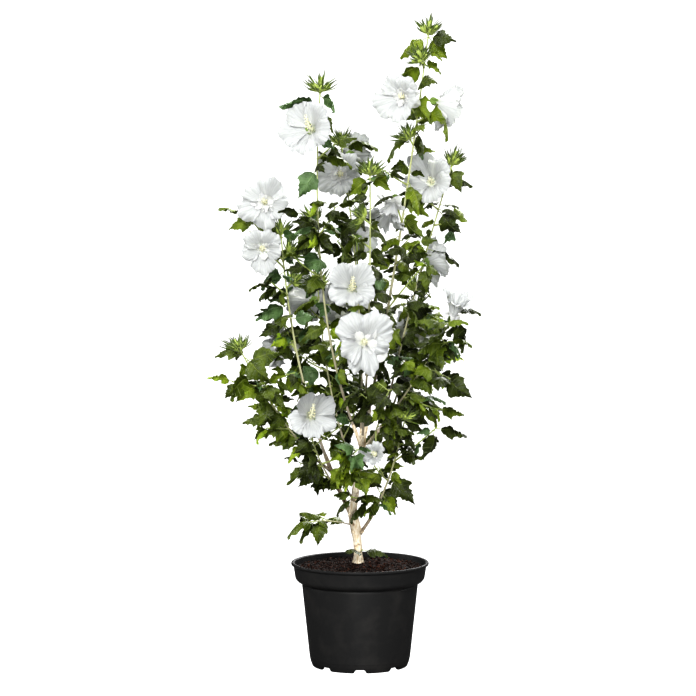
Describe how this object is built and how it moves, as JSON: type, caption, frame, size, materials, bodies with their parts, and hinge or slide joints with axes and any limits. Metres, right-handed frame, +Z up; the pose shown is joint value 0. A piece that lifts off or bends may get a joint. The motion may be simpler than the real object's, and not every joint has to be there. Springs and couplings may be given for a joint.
{
  "type": "potted rose of sharon shrub",
  "caption": "Young upright rose of Sharon shrub with lobed leaves and large white ruffled flowers, in a round black nursery pot filled with compost.",
  "frame": {"origin": "centre of the pot's flat underside, on the surface that the pot stands on", "axes": "+Z up along the pot's axis, -Y towards the front that the picture shows, +X to its right"},
  "size_m": [0.434, 0.3953, 1.0458],
  "materials": {
    "pot": "satin black moulded plastic",
    "compost": "moist dark compost with bark chips",
    "bark": "pale cream bark with brown knots",
    "foliage": "satin green leaves with white ruffled flowers"
  },
  "bodies": {
    "root": {"bough_back_left": "bark", "bough_back_middle": "bark", "bough_back_right": "bark", "bough_centre": "bark", "bough_centre_low": "bark", "bough_far_left": "bark", "bough_front_low": "bark", "bough_front_middle": "bark", "bough_left": "bark", "bough_left_low": "bark", "bough_left_middle": "bark", "bough_right": "bark", "bough_right_low": "bark", "bough_right_upper": "bark", "bough_tall": "bark", "mass_back_left": "foliage", "mass_back_middle": "foliage", "mass_back_right": "foliage", "mass_centre_low": "foliage", "mass_far_left": "foliage", "mass_foot_sprout": "foliage", "mass_front_low": "foliage", "mass_front_middle": "foliage", "mass_left": "foliage", "mass_left_low": "foliage", "mass_left_middle": "foliage", "mass_low_left": "foliage", "mass_right": "foliage", "mass_right_low": "foliage", "mass_right_upper": "foliage", "mass_tall": "foliage", "pot": "pot", "soil": "compost", "trunk": "bark"}
  },
  "joints": []
}
